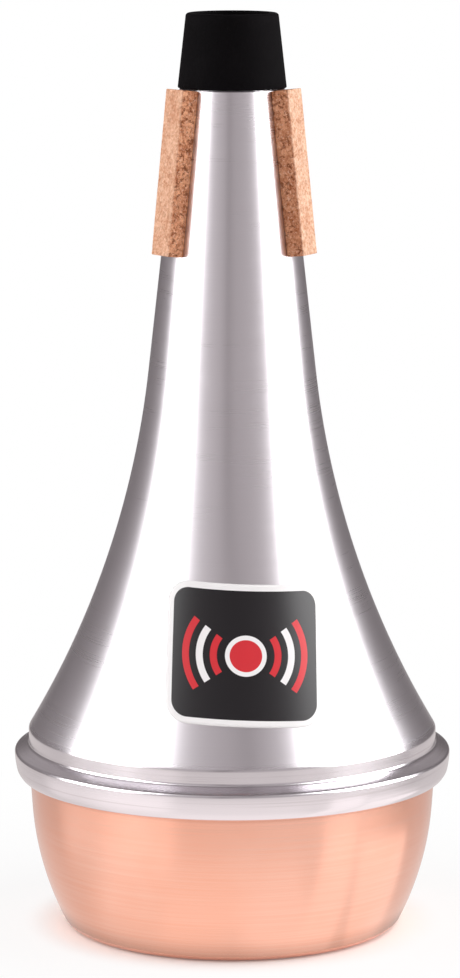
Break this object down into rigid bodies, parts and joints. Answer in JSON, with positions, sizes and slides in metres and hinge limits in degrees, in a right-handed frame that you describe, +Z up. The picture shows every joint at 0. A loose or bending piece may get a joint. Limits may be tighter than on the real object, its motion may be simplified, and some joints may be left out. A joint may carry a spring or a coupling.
{
  "type": "trombone straight mute",
  "caption": "Straight mute for a tenor trombone: flared aluminium cone seamed to a copper base cup, black sleeve on the open small end, cork strips that wedge it in the bell.",
  "frame": {"origin": "centre of the flat standing face, on the axis", "axes": "+Z up along the axis to the open small end, -Y towards the sticker, +X to the right of someone facing the sticker"},
  "size_m": [0.127, 0.127, 0.265],
  "materials": {
    "aluminium": "satin, finely brushed round the axis",
    "copper": "satin lacquered copper with faint turning lines",
    "sleeve_rubber": "matt black",
    "cork": "raw cork with dark specks",
    "sticker_vinyl": "printed vinyl, satin"
  },
  "bodies": {
    "root": {"cone_shell": "aluminium", "base_cup": "copper", "end_sleeve": "sleeve_rubber", "cork_strip_left": "cork", "cork_strip_right": "cork", "cork_strip_back": "cork", "sticker": "sticker_vinyl"}
  },
  "joints": []
}
